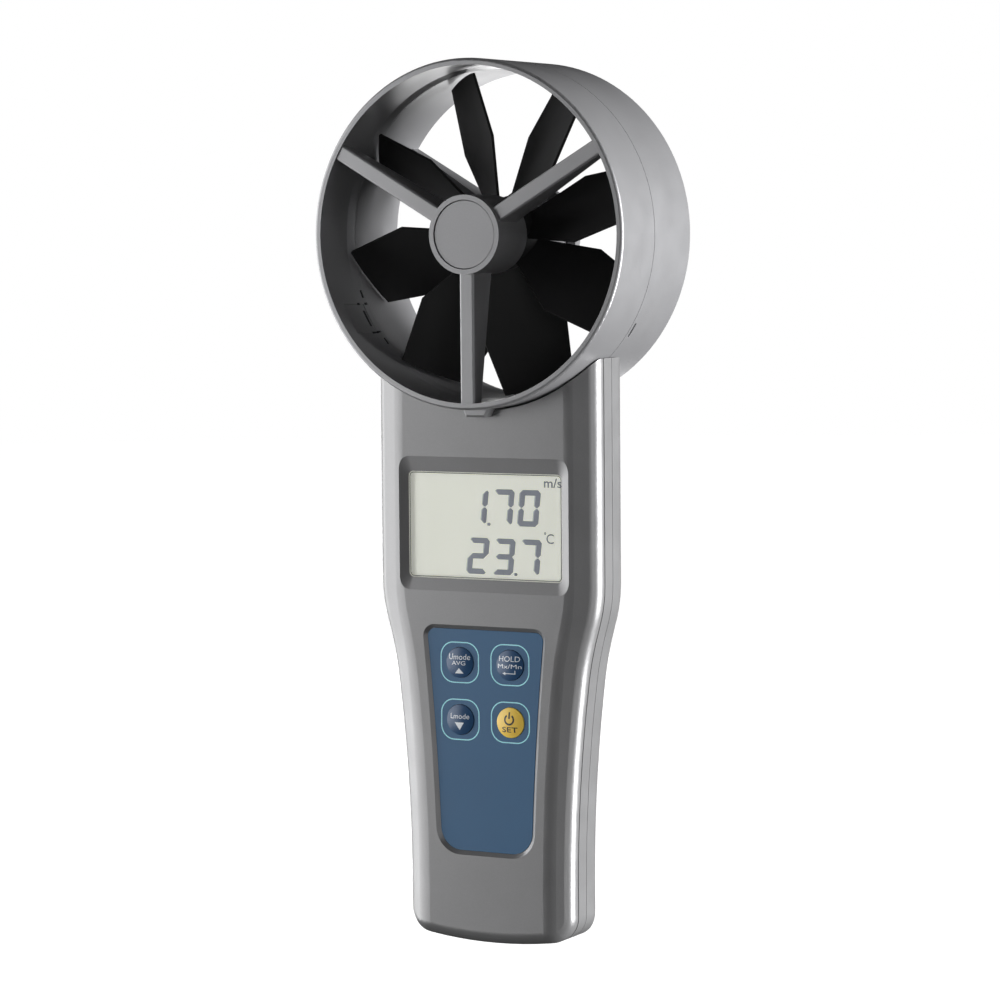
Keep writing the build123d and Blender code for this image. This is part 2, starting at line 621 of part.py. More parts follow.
def build_all():
    parts = {
        "front_case": front_case(),
        "middle_frame": middle_frame(),
        "rear_case": rear_case(),
        "battery_door": battery_door(),
        "ring_front_half": ring_front_half(),
        "ring_rear_half": ring_rear_half(),
        "front_hub_cap": hub_cap(HUB_CAP_R, FRONT_HUB_Y[0] + 0.4, FRONT_HUB_Y[0] + 2.0,
                                 FRONT_HUB_Y[0] + 0.4),
        "rear_hub_cap": hub_cap(HUB_CAP_R + 2.0, REAR_HUB_Y[1] - 1.4, REAR_HUB_Y[1] - 0.2,
                                REAR_HUB_Y[1] - 0.2),
        "sensor_cover": sensor_cover(),
        "air_temperature_sensor": thermistor(),
        "impeller": impeller(),
        "impeller_shaft": impeller_shaft(),
        "front_bearing": bearing(FRONT_BEARING_Y),
        "rear_bearing": bearing(REAR_BEARING_Y),
        "speed_pickup_coil": pickup_coil(),
        "display_window": display_window(),
        "lcd_panel": lcd_panel(),
        "lcd_holder": lcd_holder(),
        "lcd_contact_strips": contact_strips(),
        "keypad_panel": keypad_panel(),
        "main_board": main_board(),
        "board_screws": board_screws(),
        "microcontroller": microcontroller(),
        "buzzer": buzzer(),
        "battery": battery(),
        "battery_clip": battery_clip(),
        "case_screws": case_screws(),
        "ring_screws": ring_screws(),
        "tripod_insert": tripod_insert(),
        "rear_label": label_plate(),
    }
    spots = key_spots()
    for name, (x, z) in zip(KEY_NAMES, spots):
        parts[name] = key(x, z)
    switches = [dome_switch(x, z) for x, z in spots]
    parts["dome_switches"] = switches[0] + switches[1] + switches[2] + switches[3]
    return parts


os.makedirs("parts", exist_ok=True)
for name, shape in build_all().items():
    export_step(Pos(0, -TRIPOD_Y, 0) * shape, f"parts/{name}.step")
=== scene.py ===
import json
import math

import bmesh
import bpy
from mathutils import Matrix, Vector
from mathutils.bvhtree import BVHTree


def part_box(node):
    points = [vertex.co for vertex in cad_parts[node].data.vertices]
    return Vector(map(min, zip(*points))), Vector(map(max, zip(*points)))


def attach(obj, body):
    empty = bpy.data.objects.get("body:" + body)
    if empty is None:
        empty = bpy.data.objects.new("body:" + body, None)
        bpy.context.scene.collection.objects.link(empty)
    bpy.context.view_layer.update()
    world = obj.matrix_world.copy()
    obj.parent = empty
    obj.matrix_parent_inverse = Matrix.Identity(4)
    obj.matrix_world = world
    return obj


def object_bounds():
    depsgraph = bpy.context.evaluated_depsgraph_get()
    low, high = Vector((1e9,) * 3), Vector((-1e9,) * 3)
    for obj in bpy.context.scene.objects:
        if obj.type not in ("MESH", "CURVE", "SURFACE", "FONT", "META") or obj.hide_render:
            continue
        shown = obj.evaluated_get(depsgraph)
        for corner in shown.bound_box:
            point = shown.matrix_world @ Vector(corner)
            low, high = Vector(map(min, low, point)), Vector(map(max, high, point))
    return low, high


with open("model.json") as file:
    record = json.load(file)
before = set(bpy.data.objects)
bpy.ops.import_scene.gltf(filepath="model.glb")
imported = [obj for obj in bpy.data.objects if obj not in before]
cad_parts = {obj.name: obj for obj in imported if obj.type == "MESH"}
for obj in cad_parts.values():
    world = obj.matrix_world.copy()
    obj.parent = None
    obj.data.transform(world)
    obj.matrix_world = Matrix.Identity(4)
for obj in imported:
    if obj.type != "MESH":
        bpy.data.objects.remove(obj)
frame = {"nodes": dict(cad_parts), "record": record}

cad_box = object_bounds()
MM = 0.001
nodes = frame["nodes"]


# ---------------------------------------------------------------- material kit
def linear(red, green, blue):
    """A colour given as it looks on a screen, from 0 to 255, in the shader's own linear values."""
    values = [channel / 255 for channel in (red, green, blue)]
    return [v / 12.92 if v <= 0.04045 else ((v + 0.055) / 1.055) ** 2.4 for v in values]


class Surface:
    """One material, built around a Principled shader."""

    def __init__(self, name, **sockets):
        self.material = bpy.data.materials.new(name)
        self.material.use_nodes = True
        self.nodes = self.material.node_tree.nodes
        self.links = self.material.node_tree.links
        self.shader = self.nodes["Principled BSDF"]
        self.place = self.nodes.new("ShaderNodeTexCoord").outputs["Object"]
        self.normal = None
        for socket, value in sockets.items():
            self.shader.inputs[socket.replace("_", " ")].default_value = value

    def add(self, kind, links=(), **settings):
        """A node with its settings, and with (socket, source) pairs plugged in."""
        node = self.nodes.new(kind)
        for name, value in settings.items():
            setattr(node, name, value)
        for socket, source in links:
            if hasattr(source, "is_output"):
                self.links.new(source, node.inputs[socket])
            else:
                node.inputs[socket].default_value = source
        return node

    def noise(self, size, detail=2.0, stretch=None):
        """Noise whose lumps are about size across."""
        place = self.place
        if stretch is not None:
            place = self.add("ShaderNodeMapping", [("Vector", place), ("Scale", stretch)]).outputs[0]
        links = [("Vector", place), ("Scale", 1 / size), ("Detail", detail)]
        return self.add("ShaderNodeTexNoise", links).outputs["Fac"]

    def span(self, factor, low, high, start=0.3, end=0.7):
        """A factor's start to end stretched to low to high."""
        links = [("Value", factor), ("From Min", start), ("From Max", end), ("To Min", low), ("To Max", high)]
        return self.add("ShaderNodeMapRange", links).outputs["Result"]

    def blend(self, factor, first, second, mode="MIX"):
        mix = self.add("ShaderNodeMix", data_type="RGBA", blend_type=mode)
        for index, source in ((0, factor), (6, first), (7, second)):
            if hasattr(source, "is_output"):
                self.links.new(source, mix.inputs[index])
            elif index == 0:
                mix.inputs[index].default_value = source
            else:
                mix.inputs[index].default_value = (*source, 1)
        return mix.outputs[2]

    def mottled(self, color, size, amount):
        """The colour, a little darker and a little lighter in soft patches."""
        dark = [channel * (1 - amount) for channel in color]
        light = [channel * (1 + amount) for channel in color]
        return self.blend(self.span(self.noise(size, 3), 0, 1), dark, light)

    def edges(self, radius):
        """1 on the flats and less near an edge, as far as radius from it."""
        rounded = self.add("ShaderNodeBevel", [("Radius", radius)], samples=6).outputs[0]
        flat = self.add("ShaderNodeNewGeometry").outputs["Normal"]
        dot = self.add("ShaderNodeVectorMath", [(0, rounded), (1, flat)], operation="DOT_PRODUCT")
        return dot.outputs["Value"]

    def bump(self, height, depth):
        links = [("Height", height), ("Distance", depth), ("Strength", 1.0)]
        if self.normal is not None:
            links.append(("Normal", self.normal))
        self.normal = self.add("ShaderNodeBump", links).outputs[0]
        self.set("Normal", self.normal)

    def set(self, socket, source):
        self.links.new(source, self.shader.inputs[socket])


def moulded(name, color, roughness, grain=0.35 * MM, depth=0.006 * MM, mottle=0.03, edge=0.35 * MM,
            metallic=0.0):
    """Moulded plastic with a fine spark-eroded grain, and a painted highlight that lightens it along its
    edges.
    """
    surface = Surface(name, IOR=1.5, Metallic=metallic)
    patches = surface.mottled(color, 18 * MM, mottle)
    speck = surface.noise(grain, 2)
    speckled = surface.blend(surface.span(speck, 0.0, 0.10), patches, [c * 1.5 for c in color])
    # painted highlight: the base colour is lighter near every edge
    edge_highlight = surface.span(surface.edges(edge), 0.35, 0.0, 0.90, 1.0)
    surface.set("Base Color", surface.blend(edge_highlight, speckled, [min(1, c * 1.35 + 0.01) for c in color]))
    smear = surface.span(surface.noise(9 * MM, 4), roughness - 0.03, roughness + 0.03)
    surface.set("Roughness", smear)
    surface.bump(speck, depth)
    return surface.material


def metal(name, color, roughness, stretch=(1, 1, 1), line=0.25 * MM, depth=0.004 * MM):
    """Metal with fine lines along the axis that stretch makes long."""
    surface = Surface(name, Metallic=1.0)
    lines = surface.noise(line, 2, stretch)
    surface.set("Base Color", surface.blend(surface.span(lines, 0, 1), [c * 0.86 for c in color], color))
    surface.set("Roughness", surface.span(lines, roughness - 0.06, roughness + 0.08))
    surface.bump(lines, depth)
    return surface.material


def ink(name, color, roughness=0.45, glow=0.0):
    """Printed ink, a little uneven."""
    surface = Surface(name, IOR=1.5, Emission_Color=(*color, 1), Emission_Strength=glow)
    surface.set("Base Color", surface.mottled(color, 0.8 * MM, 0.05))
    surface.set("Roughness", surface.span(surface.noise(0.5 * MM), roughness - 0.04, roughness + 0.06))
    surface.bump(surface.noise(0.12 * MM), 0.002 * MM)
    return surface.material


# ---------------------------------------------------------------- the materials
CASE_GREY = linear(129, 129, 130)
RING_GREY = linear(142, 142, 144)
PANEL_BLUE = linear(44, 94, 134)
KEY_BLUE = linear(40, 76, 114)
KEY_YELLOW = linear(255, 214, 92)
LINE_BLUE = linear(176, 246, 255)
LCD_TINT = linear(238, 238, 228)
# painted light: the display and its bars glow a little to look brighter
LCD_PAINTED_GLOW = 0.34
SEGMENT = linear(128, 131, 141)
# painted shadow: a lighter grey that stands for the bars' shadows on the reflector behind them
SEGMENT_SHADOW_PAINT = linear(180, 183, 187)


def display_glass():
    surface = Surface("window", IOR=1.12, Transmission_Weight=1.0, Roughness=0.0)
    surface.set("Base Color", surface.mottled([0.97, 0.98, 0.97], 30 * MM, 0.01))
    return surface.material


def liquid_crystal():
    """The display's reflector seen through its polariser, with a painted glow that brightens it."""
    surface = Surface("lcd_glass", IOR=1.5, Emission_Color=(*LCD_TINT, 1), Emission_Strength=LCD_PAINTED_GLOW)
    cloud = surface.mottled(LCD_TINT, 26 * MM, 0.015)
    fibre = surface.noise(0.14 * MM, 3)
    surface.set("Base Color", surface.blend(surface.span(fibre, 0, 0.3), cloud, [c * 0.97 for c in LCD_TINT]))
    surface.set("Roughness", surface.span(fibre, 0.46, 0.52))
    return surface.material


def circuit_board():
    """Green solder mask with copper tracks running under it."""
    surface = Surface("board_laminate", IOR=1.5, Coat_Weight=0.4, Coat_Roughness=0.15)
    tracks = surface.add("ShaderNodeTexWave", [("Vector", surface.place), ("Scale", 190), ("Distortion", 6)],
                         bands_direction="DIAGONAL").outputs["Fac"]
    color = surface.blend(surface.span(tracks, 0, 1, 0.55, 0.65), linear(16, 84, 44), linear(28, 116, 62))
    surface.set("Base Color", color)
    surface.set("Roughness", surface.span(surface.noise(3 * MM), 0.32, 0.42))
    surface.bump(tracks, 0.03 * MM)
    return surface.material


def battery_jacket():
    """A printed steel can: a copper-coloured top quarter over black."""
    surface = Surface("battery_jacket", IOR=1.5, Metallic=0.3, Coat_Weight=0.5, Coat_Roughness=0.12)
    low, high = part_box("battery")
    height = surface.add("ShaderNodeSeparateXYZ", [(0, surface.place)]).outputs["Z"]
    line = high.z - 0.27 * (high.z - low.z)
    band = surface.span(height, 0, 1, line, line + 0.1 * MM)
    black = surface.mottled(linear(32, 32, 35), 12 * MM, 0.1)
    surface.set("Base Color", surface.blend(band, black, linear(176, 104, 52)))
    scuffs = surface.noise(0.6 * MM, 4, (1, 1, 0.15))
    surface.set("Roughness", surface.span(scuffs, 0.28, 0.42))
    surface.bump(scuffs, 0.006 * MM)
    return surface.material


def wound_coil():
    surface = Surface("coil_copper", Metallic=0.8)
    turns = surface.add("ShaderNodeTexWave", [("Vector", surface.place), ("Scale", 900), ("Distortion", 0.4)],
                        bands_direction="Z").outputs["Fac"]
    surface.set("Base Color", surface.blend(turns, linear(120, 56, 26), linear(206, 124, 70)))
    surface.set("Roughness", surface.span(turns, 0.3, 0.45))
    surface.bump(turns, 0.05 * MM)
    return surface.material


MAKERS = {
    "case_plastic": lambda: moulded("case_plastic", CASE_GREY, 0.32, metallic=0.35),
    "ring_plastic": lambda: moulded("ring_plastic", RING_GREY, 0.32, 0.30 * MM, 0.004 * MM, metallic=0.35),
    "vane_plastic": lambda: moulded("vane_plastic", linear(25, 25, 26), 0.62, 0.25 * MM, 0.005 * MM, 0.08),
    "hardened_steel": lambda: metal("hardened_steel", [0.55, 0.55, 0.56], 0.25, (1, 0.05, 1)),
    "bearing_steel": lambda: metal("bearing_steel", [0.62, 0.62, 0.63], 0.22),
    "screw_steel": lambda: metal("screw_steel", [0.50, 0.50, 0.51], 0.34, (1, 1, 0.4)),
    "window": display_glass,
    "lcd_glass": liquid_crystal,
    "holder_plastic": lambda: moulded("holder_plastic", linear(214, 214, 210), 0.45),
    "contact_rubber": lambda: moulded("contact_rubber", linear(206, 140, 160), 0.7, 0.2 * MM),
    "panel_film": lambda: moulded("panel_film", PANEL_BLUE, 0.44, 0.22 * MM, 0.003 * MM, 0.035),
    "key_blue": lambda: moulded("key_blue", KEY_BLUE, 0.33, 0.22 * MM, 0.002 * MM, 0.04),
    "key_yellow": lambda: moulded("key_yellow", KEY_YELLOW, 0.36, 0.22 * MM, 0.002 * MM, 0.02),
    "dome_metal": lambda: metal("dome_metal", [0.72, 0.72, 0.70], 0.18),
    "board_laminate": circuit_board,
    "chip_plastic": lambda: moulded("chip_plastic", linear(34, 34, 36), 0.6),
    "sensor_coat": lambda: moulded("sensor_coat", linear(28, 28, 30), 0.3),
    "battery_jacket": battery_jacket,
    "clip_plastic": lambda: moulded("clip_plastic", linear(24, 24, 25), 0.5),
    "coil_copper": wound_coil,
    "insert_brass": lambda: metal("insert_brass", [0.72, 0.52, 0.24], 0.3, (1, 1, 0.1)),
    "label_film": lambda: moulded("label_film", linear(196, 197, 198), 0.36, 0.5 * MM, 0.002 * MM, 0.015),
}
materials = {slot: make() for slot, make in MAKERS.items()}
printing = {
    "white": ink("white_ink", linear(246, 250, 255)),
    "dark": ink("dark_ink", linear(44, 46, 50)),
    # painted shadow inside the vent slots
    "black": ink("vent_shadow_paint", linear(9, 9, 10), 0.7),
    "line": ink("line_ink", LINE_BLUE),
    "segment": ink("segment_film", SEGMENT, 0.5, LCD_PAINTED_GLOW),
    # painted shadow along the window's lip
    "rim_shadow": ink("rim_shadow_line", linear(58, 60, 64)),
    # painted shadows of the display's bars
    "painted_shadow": ink("segment_shadow", SEGMENT_SHADOW_PAINT, 0.5, LCD_PAINTED_GLOW),
}
for part in frame["record"]["subparts"]:
    node = nodes[part["node"]]
    for index in range(len(node.material_slots)):
        node.material_slots[index].material = materials[part["material_slot"]]


# ---------------------------------------------------------------- mesh kit
INK_LIFT = 0.02 * MM          # how far printing stands off the surface it is on
CAPITAL_OVER_SIZE = 0.69      # a capital letter's height over its font's size


def new_piece(name, bm, material, body):
    """A mesh object that rides on a body, with one material."""
    mesh = bpy.data.meshes.new(name)
    bmesh.ops.recalc_face_normals(bm, faces=bm.faces)
    bm.to_mesh(mesh)
    bm.free()
    mesh.materials.append(material)
    piece = bpy.data.objects.new(name, mesh)
    bpy.context.collection.objects.link(piece)
    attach(piece, body)
    return piece


def add_outline(bm, points):
    """A flat face through points, given as (x, z) in metres on the plane y = 0."""
    return bm.faces.new([bm.verts.new((x, 0, z)) for x, z in points])


def add_thickness(bm, thickness):
    """Turns the flat faces at y = 0 into plates that reach towards -Y."""
    grown = bmesh.ops.extrude_face_region(bm, geom=bm.faces[:])
    top = [item for item in grown["geom"] if isinstance(item, bmesh.types.BMVert)]
    bmesh.ops.translate(bm, verts=top, vec=(0, -thickness, 0))


def arc_points(center, radius, start, end, steps):
    """Points on an arc, with its angles in degrees from +X towards +Z."""
    angles = [math.radians(start + (end - start) * i / steps) for i in range(steps + 1)]
    return [(center[0] + radius * math.cos(a), center[1] + radius * math.sin(a)) for a in angles]


def rounded_square(half_x, half_z, radius, steps=12):
    points = []
    for quarter, (sx, sz) in enumerate(((1, 1), (-1, 1), (-1, -1), (1, -1))):
        center = (sx * (half_x - radius), sz * (half_z - radius))
        points += arc_points(center, radius, 90 * quarter, 90 * quarter + 90, steps)
    return points


def add_band(bm, outer, inner):
    """The strip between two outlines that have the same number of points."""
    rings = [[bm.verts.new((x, 0, z)) for x, z in outline] for outline in (outer, inner)]
    count = len(outer)
    for i in range(count):
        j = (i + 1) % count
        bm.faces.new((rings[0][i], rings[0][j], rings[1][j], rings[1][i]))


def add_arc(bm, center, outer, inner, start, end, steps=40):
    """A strip along an arc, open at its ends."""
    rings = [[bm.verts.new((x, 0, z)) for x, z in arc_points(center, radius, start, end, steps)]
             for radius in (outer, inner)]
    for i in range(steps):
        bm.faces.new((rings[0][i], rings[0][i + 1], rings[1][i + 1], rings[1][i]))


def add_text(bm, words, height, center, weight=0.0, spacing=1.0, wide=1.0):
    """Lettering on the plane y = 0, its capitals height tall and centred on (x, z)."""
    curve = bpy.data.curves.new("lettering", "FONT")
    curve.body = words
    curve.align_x = "CENTER"
    curve.offset = weight
    curve.space_character = spacing
    curve.resolution_u = 4
    letters = bpy.data.objects.new("lettering", curve)
    mesh = bpy.data.meshes.new_from_object(letters)
    size = height / CAPITAL_OVER_SIZE
    mesh.transform(Matrix.Rotation(math.pi / 2, 4, "X") @ Matrix.Diagonal((size * wide, size, size, 1)))
    mesh.transform(Matrix.Translation((center[0], 0, center[1] - height / 2)))
    bm.from_mesh(mesh)
    bpy.data.meshes.remove(mesh)
    bpy.data.objects.remove(letters)
    bpy.data.curves.remove(curve)


def moved(bm, offset):
    bmesh.ops.translate(bm, verts=bm.verts[:], vec=offset)


def lay_on(bm, target, lift, finest=0.45 * MM):
    """Drops the flat pattern at y = 0 along +Y onto a node, lift in front of its surface."""
    for _ in range(4):
        bmesh.ops.triangulate(bm, faces=bm.faces[:])
        long_edges = [edge for edge in bm.edges if edge.calc_length() > finest]
        bmesh.ops.subdivide_edges(bm, edges=long_edges, cuts=1)
    bmesh.ops.triangulate(bm, faces=bm.faces[:])
    surface = BVHTree.FromObject(target, bpy.context.evaluated_depsgraph_get())
    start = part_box(target.name)[0].y - 10 * MM
    for vert in bm.verts:
        hit = surface.ray_cast(Vector((vert.co.x, start, vert.co.z)), Vector((0, 1, 0)))[0]
        vert.co.y = hit.y - lift


# ---------------------------------------------------------------- display
SEGMENT_WIDE = 1.7 * MM
DIGIT_WIDE = 7.0 * MM
DIGIT_TALL = 11.2 * MM
DIGIT_PITCH = 9.0 * MM
DIGIT_SLANT = math.tan(math.radians(6))
CORNER_CUT = 1.0 * MM
SEGMENT_GAP = 0.20 * MM
SEGMENT_SHADOW_SHIFT = -0.4 * MM
DOT_RADIUS = 0.50 * MM
WINDOW_HIDDEN = 1.5 * MM      # how far the window reaches under the casing's lip
LCD_INK = 0.05 * MM           # thickness of the bars and of the units
LCD_SHADOW_INK = 0.02 * MM     # thickness of the bars' painted shadows, behind them
UPPER_ROW = (18.95 * MM, 141.3 * MM)      # the upper right corner of each row of digits
LOWER_ROW = (19.15 * MM, 126.2 * MM)
DEGREE_SIGN = (20.2 * MM, 128.2 * MM)
LIT = {"0": "abcdef", "1": "bc", "2": "abged", "3": "abgcd", "7": "abc"}


def segment_outlines():
    """The seven bars of one digit, its lower left corner at (0, 0)."""
    wide, tall, t, cut = DIGIT_WIDE, DIGIT_TALL, SEGMENT_WIDE, CORNER_CUT
    middle = tall / 2
    top = [(cut, tall), (wide - cut, tall), (wide - cut / 2, tall - cut / 2), (wide - t, tall - t),
           (t, tall - t), (cut / 2, tall - cut / 2)]
    upper_right = [(wide, tall - cut), (wide - cut / 2, tall - cut / 2), (wide - t, tall - t),
                   (wide - t, middle + t / 2), (wide - t / 2, middle), (wide, middle + t / 2)]
    bar = [(t / 2, middle), (t, middle + t / 2), (wide - t, middle + t / 2), (wide - t / 2, middle),
           (wide - t, middle - t / 2), (t, middle - t / 2)]

    def upside_down(points):
        return [(x, tall - z) for x, z in points]

    def left_right(points):
        return [(wide - x, z) for x, z in points]

    return {"a": top, "b": upper_right, "c": upside_down(upper_right), "d": upside_down(top),
            "e": left_right(upside_down(upper_right)), "f": left_right(upper_right), "g": bar}


def add_digits(bm, digits, right_top, dot_after):
    """A row of digits, the last one's upper right corner at right_top."""
    outlines = segment_outlines()
    x_last, z_top = right_top
    for place, digit in enumerate(digits):
        left = x_last - DIGIT_WIDE - DIGIT_PITCH * (len(digits) - 1 - place)
        for bar in LIT[digit]:
            add_outline(bm, [(left + x + DIGIT_SLANT * (z - DIGIT_TALL), z_top - DIGIT_TALL + z)
                             for x, z in outlines[bar]])
        if place == dot_after:
            center = (left + DIGIT_WIDE - 0.05 * MM, z_top - DIGIT_TALL + 0.35 * MM)
            add_outline(bm, arc_points(center, DOT_RADIUS, 0, 345, 23))


def digits_pattern():
    bm = bmesh.new()
    add_digits(bm, "170", UPPER_ROW, 0)
    add_digits(bm, "237", LOWER_ROW, 1)
    inset = bmesh.ops.inset_individual(bm, faces=bm.faces[:], thickness=SEGMENT_GAP, use_even_offset=True)
    bmesh.ops.delete(bm, geom=inset["faces"], context="FACES")
    return bm


def make_display():
    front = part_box("lcd_panel")[0].y
    # The bars, then a lighter copy shifted left as their painted shadow on the reflector.
    layers = (("display_segments", "segment", 0, LCD_INK),
              ("display_segment_shadows", "painted_shadow", SEGMENT_SHADOW_SHIFT, LCD_SHADOW_INK))
    for name, material, shift, thickness in layers:
        bm = digits_pattern()
        add_thickness(bm, thickness)
        moved(bm, (shift, front, 0))
        new_piece(name, bm, printing[material], "housing")
    bm = bmesh.new()
    add_text(bm, "m/s", 2.75 * MM, (22.9 * MM, 143.6 * MM), weight=0.012, wide=1.12)
    add_text(bm, "C", 2.95 * MM, (21.9 * MM, 126.6 * MM), weight=0.004, wide=0.95)
    degree_rings = [arc_points(DEGREE_SIGN, radius, 0, 345, 23) for radius in (0.40 * MM, 0.14 * MM)]
    add_band(bm, *degree_rings)
    add_thickness(bm, LCD_INK)
    moved(bm, (0, front, 0))
    new_piece("display_units", bm, printing["segment"], "housing")
    # A thin dark line just inside the window's opening: painted shadow of the casing's lip on the display.
    low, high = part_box("display_window")
    x, z = (low.x + high.x) / 2, (low.z + high.z) / 2
    half_x, half_z = (high.x - low.x) / 2 - WINDOW_HIDDEN, (high.z - low.z) / 2 - WINDOW_HIDDEN
    bm = bmesh.new()
    add_band(bm, rounded_square(half_x - 0.3 * MM, half_z - 0.3 * MM, 1.4 * MM),
             rounded_square(half_x - 0.52 * MM, half_z - 0.52 * MM, 1.2 * MM))
    add_thickness(bm, INK_LIFT)
    moved(bm, (x, low.y, z))
    new_piece("window_rim_shadow_line", bm, printing["rim_shadow"], "housing")


# ---------------------------------------------------------------- keypad printing
KEY_FRAME = (6.75 * MM, 6.4 * MM, 4.5 * MM)       # half width, half height, corner radius
KEY_FRAME_LINE = 0.36 * MM
KEY_FRAME_SHIFT = 0.12 * MM


def key_center(name):
    low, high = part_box(name)
    return (low.x + high.x) / 2, (low.z + high.z) / 2


def make_key_frame(key):
    half_x, half_z, radius = KEY_FRAME
    bm = bmesh.new()
    line = KEY_FRAME_LINE
    add_band(bm, rounded_square(half_x, half_z, radius),
             rounded_square(half_x - line, half_z - line, radius - line))
    add_thickness(bm, INK_LIFT)
    x, z = key_center(key)
    moved(bm, (x - KEY_FRAME_SHIFT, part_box("keypad_panel")[0].y, z))
    new_piece(f"{key}_frame_line", bm, printing["line"], "housing")


def triangle(bm, center, half, tall):
    """A filled arrow head that points up, or down where tall is negative."""
    x, z = center
    add_outline(bm, [(x - half, z - tall / 2), (x + half, z - tall / 2), (x, z + tall / 2)])


def up_legend(bm):
    add_text(bm, "Umode", 1.75 * MM, (0.05 * MM, 1.85 * MM), wide=1.0)
    add_text(bm, "AVG", 1.25 * MM, (-0.05 * MM, -0.1 * MM), wide=1.35)
    triangle(bm, (0, -2.5 * MM), 1.5 * MM, 1.7 * MM)


def hold_legend(bm):
    add_text(bm, "HOLD", 1.65 * MM, (0, 2.0 * MM), wide=1.13)
    add_text(bm, "Mx/Mn", 1.3 * MM, (0.05 * MM, -0.3 * MM), wide=1.6)
    add_outline(bm, [(-2.5 * MM, -2.55 * MM), (-1.4 * MM, -2.05 * MM), (-1.4 * MM, -3.05 * MM)])
    add_outline(bm, [(-1.45 * MM, -2.67 * MM), (2.1 * MM, -2.67 * MM), (2.1 * MM, -2.43 * MM),
                     (-1.45 * MM, -2.43 * MM)])
    add_outline(bm, [(1.86 * MM, -2.45 * MM), (2.1 * MM, -2.45 * MM), (2.1 * MM, -1.5 * MM),
                     (1.86 * MM, -1.5 * MM)])


def down_legend(bm):
    add_text(bm, "Lmode", 1.6 * MM, (0.05 * MM, 1.15 * MM), wide=1.04)
    triangle(bm, (0, -2.0 * MM), 1.6 * MM, -2.4 * MM)


def power_legend(bm):
    middle = (-0.1 * MM, 1.0 * MM)
    add_arc(bm, middle, 1.75 * MM, 1.2 * MM, 125, 415)
    add_outline(bm, [(-0.36 * MM, 1.25 * MM), (0.16 * MM, 1.25 * MM), (0.16 * MM, 3.3 * MM),
                     (-0.36 * MM, 3.3 * MM)])
    add_text(bm, "SET", 1.6 * MM, (0, -2.1 * MM), weight=0.014, spacing=1.05, wide=1.45)


LEGENDS = {"key_up": (up_legend, "white"), "key_hold": (hold_legend, "white"),
           "key_down": (down_legend, "white"), "key_power": (power_legend, "dark")}


def make_legend(key):
    draw, color = LEGENDS[key]
    bm = bmesh.new()
    draw(bm)
    x, z = key_center(key)
    moved(bm, (x, 0, z))
    lay_on(bm, nodes[key], INK_LIFT)
    new_piece(f"{key}_legend", bm, printing[color], f"{key}_body")


LABEL_LINE = 0.35 * MM
LABEL_MARGIN = 1.4 * MM
LABEL_CORNER = 1.6 * MM
LABEL_FIRST_ROW = 15          # millimetres above the label's middle
LABEL_ROW_PITCH = 7.4
LABEL_ROWS = (("AIR SPEED", 2.4), ("m/s", 2.0), ("AIR TEMPERATURE", 1.9), ("°C", 2.0), ("BATTERY 9 V", 2.0))


def make_rear_label():
    low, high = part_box("rear_label")
    x, z = (low.x + high.x) / 2, (low.z + high.z) / 2
    half_x, half_z = (high.x - low.x) / 2, (high.z - low.z) / 2
    bm = bmesh.new()
    outer = (half_x - LABEL_MARGIN, half_z - LABEL_MARGIN, LABEL_CORNER)
    add_band(bm, rounded_square(*outer), rounded_square(*[length - LABEL_LINE for length in outer]))
    for row, (words, height) in enumerate(LABEL_ROWS):
        center = (0, (LABEL_FIRST_ROW - LABEL_ROW_PITCH * row) * MM)
        add_text(bm, words, height * MM, center, spacing=1.05)
    add_thickness(bm, INK_LIFT)
    bmesh.ops.rotate(bm, verts=bm.verts[:], cent=(0, 0, 0), matrix=Matrix.Rotation(math.pi, 3, "Z"))
    moved(bm, (x, high.y, z))
    new_piece("rear_label_print", bm, printing["dark"], "housing")


# Ring angle in degrees from +X towards +Z; then radius, y, length along Y and length around the
# ring, in millimetres.
VENT_SLOTS = ((-149.65, 51.1, -3.5, 1.4, 5.8), (-143.8, 51.1, -3.85, 3.1, 0.8),
              (-143.8, 50.8, -1.45, 1.7, 0.8), (-155.4, 51.1, -4.85, 1.7, 0.9),
              (-155.2, 50.75, -1.15, 1.6, 0.9), (-158.9, 50.75, -1.3, 1.1, 2.7),
              (-139.7, 50.75, -1.2, 1.1, 2.7))
VENT_SHADOW_DEEP = 0.5
VENT_SHADOW_GAP = 0.06


def make_vent_shadows():
    """Dark blocks in the slots around the air temperature sensor, just under the ring's surface: painted
    shadow in the slots' depth.
    """
    bm = bmesh.new()
    low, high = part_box("ring_front_half")
    axis = Vector((0, 0, high.z - (high.x - low.x) / 2))
    for angle, radius, y, along, around in VENT_SLOTS:
        turn = Matrix.Translation(axis) @ Matrix.Rotation(math.radians(-angle), 4, "Y")
        place = turn @ Matrix.Translation(((radius + VENT_SHADOW_DEEP / 2) * MM, y * MM, 0))
        size = (VENT_SHADOW_DEEP * MM, (along - VENT_SHADOW_GAP) * MM, (around - VENT_SHADOW_GAP) * MM, 1)
        bmesh.ops.create_cube(bm, size=1, matrix=place @ Matrix.Diagonal(size))
    new_piece("vent_shadows", bm, printing["black"], "housing")


make_display()
make_vent_shadows()
for key_name in LEGENDS:
    make_key_frame(key_name)
    make_legend(key_name)
make_rear_label()


